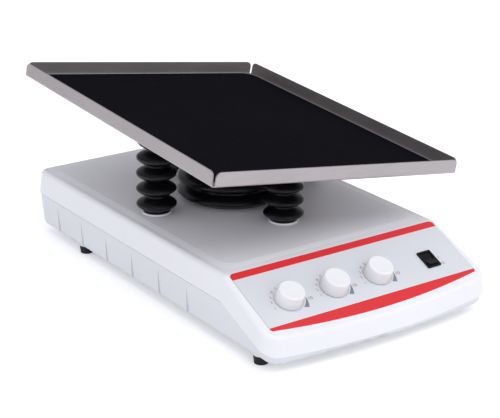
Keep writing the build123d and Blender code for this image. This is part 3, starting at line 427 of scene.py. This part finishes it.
def skin_faces(rows, columns, around=False):
    """Four-sided faces of a grid of points, numbered row by row.

    Face (i, j) lies between rows i and i + 1 and columns j and j + 1. The last column joins the
    first, and with around set the last row joins the first too.
    """
    i, j = np.meshgrid(np.arange(rows if around else rows - 1), np.arange(columns), indexing="ij")
    up, along = (i + 1) % rows, (j + 1) % columns
    faces = np.stack([i * columns + j, i * columns + along, up * columns + along, up * columns + j], -1)
    return faces.reshape(-1, 4)


number_heights = [number_height] * (len(numbers_at) - 1) + [number_height * last_number_scale]
printed_glyphs("dial_numbers", [
    (str(i + 1), middle + across, knob_row + down, height)
    for middle in knob_places.values()
    for i, ((across, down), height) in enumerate(zip(numbers_at, number_heights))
])
printed_glyphs("switch_marks", [
    (text, stroke_place, row, stroke_height) for text, row in zip("IO", stroke_rows)
])

# a wedge runs down an arc round its knob and widens from a point to five millimetres
swell = np.linspace(0, 1, wedge_steps)
wedge_corners = np.arange(4)
wedge_skin = np.concatenate([
    skin_faces(wedge_steps, 4), [wedge_corners[::-1], wedge_corners + 4 * (wedge_steps - 1)],
])
wedge_points, wedge_faces = [], []
for count, middle in enumerate(knob_places.values()):
    spine_across = middle + wedge_tip[0] - wedge_run[0] * swell**wedge_curl
    spine_down = knob_row + wedge_tip[1] + wedge_run[1] * swell
    half_width = wedge_tip_half + wedge_swell * swell
    slant = wedge_slant * swell
    left_low, right_low, left_high, right_high = [
        on_panel(spine_across + side * half_width, spine_down + side * slant * half_width, lift)
        for lift in (ink_seat, ink_seat + ink_thickness)
        for side in (-1, 1)
    ]
    wedge_points.append(np.stack([left_low, right_low, right_high, left_high], 1).reshape(-1, 3))
    wedge_faces.append(wedge_skin + count * 4 * wedge_steps)
wedge_mesh = bpy.data.meshes.new("dial_wedges")
wedge_mesh.from_pydata(np.concatenate(wedge_points).tolist(), [], np.concatenate(wedge_faces).tolist())
wedges = add_piece("dial_wedges", wedge_mesh, grey_ink)
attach(wedges, "housing")

# Three control knobs, moulded in glossy white: a drafted skirt, a rolled edge and a flat face with
# a shallow pointer groove, pushed onto the spindles of the potentiometers.
knob_white = (0.84, 0.84, 0.85, 1)
knob_standoff, knob_height = 0.0008, 0.0140
knob_base_radius, knob_face_radius, knob_edge = 0.0156, 0.0134, 0.0014
foot_round, face_dish, edge_points, points_around = 0.0003, 0.0003, 7, 96
pointer_angle, pointer_start, pointer_half_width, pointer_depth = math.radians(225), 0.0060, 0.0006, 0.0004
pointer_lowest = 0.0125

knob_plastic = moulded("knob_plastic", knob_white, grain=1400.0, cloud=0.02, roughness=0.26, depth=0.00002)


def closed_skin(name, grid, material, around=True):
    """Smooth piece from a grid of points, its faces as skin_faces joins them."""
    mesh = bpy.data.meshes.new(name)
    mesh.from_pydata(grid.reshape(-1, 3).tolist(), [], skin_faces(*grid.shape[:2], around).tolist())
    piece = add_piece(name, mesh, material)
    mesh.polygons.foreach_set("use_smooth", np.ones(len(mesh.polygons), bool))
    return piece


# radius and height over the film: hub and hollow under the face, foot, rolled edge, dished face
bend = np.linspace(0, math.pi / 2, edge_points)
knob_profile = np.concatenate([
    [(0.0, 0.0100), (0.0060, 0.0100), (0.0060, 0.0060), (0.0036, 0.0060), (0.0036, knob_standoff + 0.0104),
     (0.0114, 0.0118), (0.0118, 0.0110), (0.0130, knob_standoff + 0.0002), (0.0132, knob_standoff)],
    [(knob_base_radius - foot_round, knob_standoff), (knob_base_radius, knob_standoff + foot_round)],
    np.stack([knob_face_radius - knob_edge + knob_edge * np.cos(bend),
              knob_height - knob_edge + knob_edge * np.sin(bend)], 1),
    [(knob_face_radius - 2 * knob_edge, knob_height - 0.00002), (0.0090, knob_height - 0.00022),
     (0.0040, knob_height - face_dish), (0.0, knob_height - face_dish)],
])
radius, height = knob_profile[:, :1], knob_profile[:, 1:]
knob_around = np.linspace(0, 2 * math.pi, points_around, endpoint=False)
# the pointer is a narrow stripe along which the face sinks, as a bell curve across it
pointer_turn = (knob_around - pointer_angle + math.pi) % (2 * math.pi) - math.pi
on_face = (radius > pointer_start) * (height > pointer_lowest)
pointer = np.exp(-((pointer_turn * radius / pointer_half_width) ** 2)) * on_face
for name, middle in knob_places.items():
    points = on_panel(middle + radius * np.cos(knob_around), knob_row - radius * np.sin(knob_around),
                      height - pointer_depth * pointer)
    knob = closed_skin(f"{name}_knob_shell", points, knob_plastic, around=False)
    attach(knob, f"{name}_knob")
    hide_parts(f"{name}_knob")

# Power switch: a frame that snaps into the window of the panel and a rocker that turns in it, both
# moulded in glossy black plastic.
frame_black, rocker_black = (0.005, 0.005, 0.006, 1), (0.004, 0.004, 0.005, 1)

switch_plastic = moulded("switch_plastic", frame_black, grain=1200.0, cloud=0.1, roughness=0.4,
                         depth=0.00003, gloss=0.25)
rocker_plastic = moulded("rocker_plastic", rocker_black, grain=1200.0, cloud=0.1, roughness=0.3,
                         depth=0.00002, gloss=0.25)
dress(switch_plastic, "switch_frame")
dress(rocker_plastic, "power_rocker")

# Feet: short tapered buffers of black rubber with a dull moulded skin. Each is held to a post of
# the tub by a screw, whose head lies in the foot's recess.
foot_black = (0.014, 0.014, 0.015, 1)

foot_rubber = moulded("foot_rubber", foot_black, grain=700.0, cloud=0.2, roughness=0.7,
                      depth=0.00008, gloss=0.3)
dress(foot_rubber, "foot_front_left", "foot_front_right", "foot_rear_left", "foot_rear_right")

# Bellows of glossy black rubber: four slim ones in a cross round a wide one that hides the joint.
# Each is blow moulded with round lobes and sharp valleys, and is built bent to meet the tilted platform above
# it at rest.
pivot = np.array([0.0, 0.0, 0.1422])
rest_pitch, rest_roll = math.radians(3.34), math.radians(8.58)
crown_top, tray_underside = 0.0771, 0.0180
bellows_offset, lobe_count, lobe_power, rings_per_lobe = 0.098, 5, 1.1, 14
seat_gap, seat_ring, bead_height, least_cuff, cuff_share = 0.0003, 0.0015, 0.0011, 0.0005, 2 / 3
rubber_wall, inner_rings = 0.0016, 6
slim = {"neck": 0.0095, "lobe": 0.022, "bead": 0.0146}
wide = {"neck": 0.0480, "lobe": 0.0605, "bead": 0.0}
rubber_black, rubber_bloom = (0.0030, 0.0030, 0.0042, 1), (0.0070, 0.0070, 0.0088, 1)

tray_across = np.array([math.cos(rest_roll), math.sin(rest_pitch) * math.sin(rest_roll),
                        -math.cos(rest_pitch) * math.sin(rest_roll)])
tray_along = np.array([0.0, math.cos(rest_pitch), math.sin(rest_pitch)])
tray_up = np.cross(tray_across, tray_along)

bellows_rubber, tree, rubber = new_material("bellows_rubber", {"Specular IOR Level": 0.30})
bloom = noise(tree, 60.0, detail=5.0)
dusting = remap(tree, bloom, 0.0, 1.0, start=0.45, stop=0.75)
feed(tree, rubber, {
    "Base Color": mix_colours(tree, dusting, rubber_black, rubber_bloom),
    "Roughness": remap(tree, bloom, 0.22, 0.36),
    "Normal": raised(tree, noise(tree, 1500.0), depth=0.00003, strength=0.35),
})


def bellows_profile(span, free_height, neck, lobe, bead, start_lobe, end_lobe):
    """Shares of the axis, and radii there, up the outer skin and back down the inner wall.

    Radius: neck plus (lobe - neck) times a power of the sine that is zero at each valley. A flat
    bead ends the foot of a slim bellows, and a plain cuff its top: two thirds of any stretch
    beyond the free height go into the cuff.
    """
    reach = 1 - max(least_cuff, (span - free_height) * cuff_share) / span
    steps = np.linspace(start_lobe, end_lobe, (end_lobe - start_lobe) * rings_per_lobe + 1)
    share = steps / lobe_count * reach
    radius = neck + (lobe - neck) * np.abs(np.sin(math.pi * steps)) ** lobe_power
    if end_lobe == lobe_count:
        share, radius = np.append(share, 1.0), np.append(radius, neck)
    if start_lobe == 0 and bead:
        bead_share = bead_height / span
        share = np.concatenate([[0.0, 0.0, bead_share], np.maximum(share, bead_share)])
        radius = np.concatenate([[neck, bead, bead], radius])
    share = np.concatenate([share, np.linspace(share[-1], share[0], inner_rings)])
    return share, np.concatenate([radius, np.full(inner_rings, neck - rubber_wall)])


def bellows_axis(foot, head, span, share):
    """Points of the axis at the given shares, and its direction at each.

    It is the cubic from foot to head that leaves upwards and meets the tray squarely, with the
    span as its speed at both ends.
    """
    s = share[:, None]
    leave, arrive = np.array([0, 0, span]), tray_up * span
    centre = (foot * (2 * s**3 - 3 * s**2 + 1) + leave * (s**3 - 2 * s**2 + s)
              + head * (3 * s**2 - 2 * s**3) + arrive * (s**3 - s**2))
    along = (foot * (6 * s**2 - 6 * s) + leave * (3 * s**2 - 4 * s + 1)
             + head * (6 * s - 6 * s**2) + arrive * (3 * s**2 - 2 * s))
    return centre, along / np.linalg.norm(along, axis=1, keepdims=True)


def bellows_grid(foot, head, free_height, form, start_lobe, end_lobe, around):
    """Grid of a bellows between two lobes, and the point of the axis at its first ring.

    Each row is a circle round a point of the axis and square to it, with the profile's radius.
    """
    span = np.linalg.norm(head - foot)
    share, radius = bellows_profile(span, free_height, **form, start_lobe=start_lobe, end_lobe=end_lobe)
    centre, along = bellows_axis(foot, head, span, share)
    side = np.cross(np.array([0.0, 1.0, 0.0]), along)
    side = side / np.linalg.norm(side, axis=1, keepdims=True)
    back = np.cross(along, side)
    turn = np.linspace(0, 2 * math.pi, around, endpoint=False)[None, :, None]
    circle = side[:, None] * np.cos(turn) + back[:, None] * np.sin(turn)
    return centre[:, None] + radius[:, None, None] * circle, centre[0]


for name, x, y, form, ring, split, around in (
    ("bellows_left", -bellows_offset, 0.0, slim, seat_ring, 2, 72),
    ("bellows_right", bellows_offset, 0.0, slim, seat_ring, 2, 72),
    ("bellows_front", 0.0, -bellows_offset, slim, seat_ring, 3, 72),
    ("bellows_rear", 0.0, bellows_offset, slim, seat_ring, 3, 72),
    ("large_bellows", 0.0, 0.0, wide, 0.0, 2, 128),
):
    foot = np.array([x, y, crown_top + ring + seat_gap])
    head = pivot + tray_across * x + tray_along * y + tray_up * (tray_underside - seat_gap)
    free_height = pivot[2] + tray_underside - crown_top - ring - 2 * seat_gap
    lower_grid, _ = bellows_grid(foot, head, free_height, form, 0, split, around)
    upper_grid, middle = bellows_grid(foot, head, free_height, form, split, lobe_count, around)
    lower = closed_skin(f"{name}_lower", lower_grid, bellows_rubber)
    upper = closed_skin(f"{name}_upper", upper_grid, bellows_rubber)
    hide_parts(name)
    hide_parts(name)
    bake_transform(lower)
    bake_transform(upper)

# Tray: stainless sheet with a brushed face, folded up on four sides with a slit at each corner.
# The brush lines run level, along the length of each fold.
tray_width, tray_depth = 0.318, 0.383
steel_grey = (0.46, 0.43, 0.435, 1)

lines, given = finish_group("brushed_lines", (
    ("Across", "NodeSocketVector", (1.0, 30.0, 30.0)),
    ("Colour", "NodeSocketColor", (0.6, 0.6, 0.6, 1)),
    ("Roughness", "NodeSocketFloat", 0.3),
))
place = add_node(lines, "ShaderNodeTexCoord")
stretched = add_node(lines, "ShaderNodeVectorMath", {
    0: place.outputs["Object"], 1: given["Across"],
}, operation="MULTIPLY")
scratches = add_node(lines, "ShaderNodeTexNoise", {
    "Vector": stretched.outputs["Vector"], "Scale": 60.0, "Detail": 5.0,
}).outputs["Fac"]
smears = remap(lines, noise(lines, 14.0), -0.06, 0.08)
add_node(lines, "NodeGroupOutput", {
    "Colour": mix_colours(lines, 1.0, given["Colour"], remap(lines, scratches, 0.86, 1.08), "MULTIPLY"),
    "Roughness": combine(lines, "ADD", given["Roughness"], smears),
    "Height": scratches,
})


def brushed(name, colour, roughness, across, depth):
    """Bare metal with fine lines: noise squeezed by across along each axis drives tone and bump."""
    values = {"Across": across, "Colour": colour, "Roughness": roughness}
    return finished(name, lines, values, depth, strength=0.3, own={"Metallic": 1.0})


tray_steel = brushed("tray_steel", steel_grey, roughness=0.50, across=(1.0, 1.0, 18.0), depth=0.00004)
dress(tray_steel, "tray")

# Mat: black rubber laid loose in the tray, with round nubs in rows so that glassware grips. The
# corners are cut to a wide radius, which leaves the steel showing beyond them.
mat_margin, mat_corner, mat_thickness, mat_floor, mat_lift = 0.0065, 0.020, 0.0025, 0.0195, 0.0001
nub_pitch, nub_height, nub_steepness, nub_cut = 0.0060, 0.0006, 1.8, 0.7
plain_border, border_fade = 0.003, 0.002
rim_width, rim_fall = 0.0010, 0.0008
mat_columns, mat_rows = 206, 250
mat_black = (0.0055, 0.0052, 0.0078, 1)

mat_rubber = moulded("mat_rubber", mat_black, grain=650.0, cloud=0.25, roughness=0.8,
                     depth=0.00012, gloss=0.03)


def rounded_half_width(width, depth, corner, along):
    """Half width of a rounded rectangle of given half sizes, at a distance along it from its middle.

    Past the start of a corner, the corner's circle takes its share off.
    """
    past = np.clip(np.abs(along) - (depth - corner), 0, corner)
    return width - corner + np.sqrt(np.clip(corner**2 - past**2, 0, None))


def ripple(distance):
    """A raised cosine that runs from 0 to 1 and back in each nub pitch."""
    return 0.5 + 0.5 * np.cos(2 * math.pi * distance / nub_pitch)


def on_tray(across, along, up):
    """Points of the platform: the pivot plus the three offsets along the tilted tray's own axes."""
    return pivot + across[..., None] * tray_across + along[..., None] * tray_along + up[..., None] * tray_up


# the top is a grid over the rounded rectangle, with the nubs as the peaks of two crossed ripples
half_width, half_depth = tray_width / 2 - mat_margin, tray_depth / 2 - mat_margin
mat_along = np.linspace(-1, 1, mat_rows) * half_depth
edge = rounded_half_width(half_width, half_depth, mat_corner, mat_along)[:, None]
across_grid = edge * np.linspace(-1, 1, mat_columns)[None, :]
along_grid = np.broadcast_to(mat_along[:, None], across_grid.shape)
inner = np.minimum(edge - np.abs(across_grid), half_depth - np.abs(along_grid))
peaks = np.clip(ripple(across_grid) * ripple(along_grid) * nub_steepness - nub_cut, 0, 1)
nubs = nub_height * peaks * np.clip((inner - plain_border) / border_fade, 0, 1)
rim_drop = rim_fall * np.clip(1 - inner / rim_width, 0, 1) ** 2
top_points = on_tray(across_grid, along_grid, mat_floor + mat_thickness - nub_height + nubs - rim_drop)
under_points = on_tray(across_grid, along_grid, np.full(across_grid.shape, mat_floor + mat_lift))

# the border's points are repeated on the underside, which is one face
index = np.arange(mat_rows * mat_columns).reshape(mat_rows, mat_columns)
top_faces = np.stack([index[:-1, :-1], index[:-1, 1:], index[1:, 1:], index[1:, :-1]], -1).reshape(-1, 4)
border = np.concatenate([index[0, :-1], index[:-1, -1], index[-1, :0:-1], index[:0:-1, 0]])
under_ring = index.size + np.arange(len(border))
side_faces = np.stack([border, under_ring, np.roll(under_ring, -1), np.roll(border, -1)], -1)
mat_points = np.concatenate([top_points.reshape(-1, 3), under_points.reshape(-1, 3)[border]])
mat_faces = [*top_faces.tolist(), *side_faces.tolist(), under_ring.tolist()]
mat_mesh = bpy.data.meshes.new("rubber_mat")
mat_mesh.from_pydata(mat_points.tolist(), [], mat_faces)
mat = add_piece("rubber_mat", mat_mesh, mat_rubber)
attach(mat, "platform")
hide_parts("tray_mat")

# Pivot and drives under the bellows: machined aluminium column, forks, arms and plates, turned
# steel pins and rods, bronze bushes, and black gearmotors on folded brackets.
aluminium_grey, pin_grey, bronze = (0.66, 0.67, 0.69, 1), (0.55, 0.55, 0.56, 1), (0.62, 0.43, 0.20, 1)
motor_paint, socket_black = (0.03, 0.03, 0.033, 1), (0.035, 0.035, 0.038, 1)

aluminium = brushed("machined_aluminium", aluminium_grey, roughness=0.36, across=(6.0, 6.0, 1.0),
                    depth=0.00003)
pin_steel = brushed("turned_steel", pin_grey, roughness=0.28, across=(3.0, 3.0, 10.0), depth=0.00002)
bush_bronze = brushed("bush_bronze", bronze, roughness=0.34, across=(8.0, 8.0, 8.0), depth=0.00002)
motor_black = moulded("motor_black", motor_paint, grain=500.0, cloud=0.2, roughness=0.38, depth=0.00004)
socket_plastic = moulded("socket_plastic", socket_black, grain=800.0, cloud=0.15, roughness=0.42,
                         depth=0.00003)
dress(aluminium, "bridge_plate", "bridge_standoffs", "pivot_column", "lower_fork", "upper_fork", "hub_plate",
      "pitch_arm", "roll_arm", "speed_potentiometer", "tilt_potentiometer", "timer_potentiometer")
dress(pin_steel, "bridge_screws", "column_screws", "tray_screws", "foot_screws", "housing_screws", "cross",
      "pitch_output_shaft", "roll_output_shaft", "pitch_crank_pin", "roll_crank_pin", "pitch_rod", "roll_rod",
      "speed_spindle", "tilt_spindle", "timer_spindle", "potentiometer_nuts",
      "pitch_motor_bracket", "roll_motor_bracket")
dress(bush_bronze, "lower_fork_bushes", "upper_fork_bushes")
dress(motor_black, "pitch_gearmotor", "roll_gearmotor")
dress(socket_plastic, "pitch_rod_socket", "roll_rod_socket", "large_bellows_ring")

# Electrical pieces: a black mains inlet with bronze blades in the back wall, a boxed power supply
# and a green circuit board on pillars inside the tub.
inlet_black, supply_black = (0.016, 0.016, 0.018, 1), (0.02, 0.02, 0.022, 1)
mask_green = (0.02, 0.13, 0.06, 1)

inlet_plastic = moulded("inlet_plastic", inlet_black, grain=900.0, cloud=0.1, roughness=0.45, depth=0.00004)
supply_plastic = moulded("supply_plastic", supply_black, grain=600.0, cloud=0.2, roughness=0.5, depth=0.00005)
board_green = moulded("board_green", mask_green, grain=300.0, cloud=0.3, roughness=0.4, depth=0.00004)
dress(inlet_plastic, "mains_inlet")
dress(bush_bronze, "inlet_blades")
dress(supply_plastic, "power_supply")
dress(board_green, "control_board")
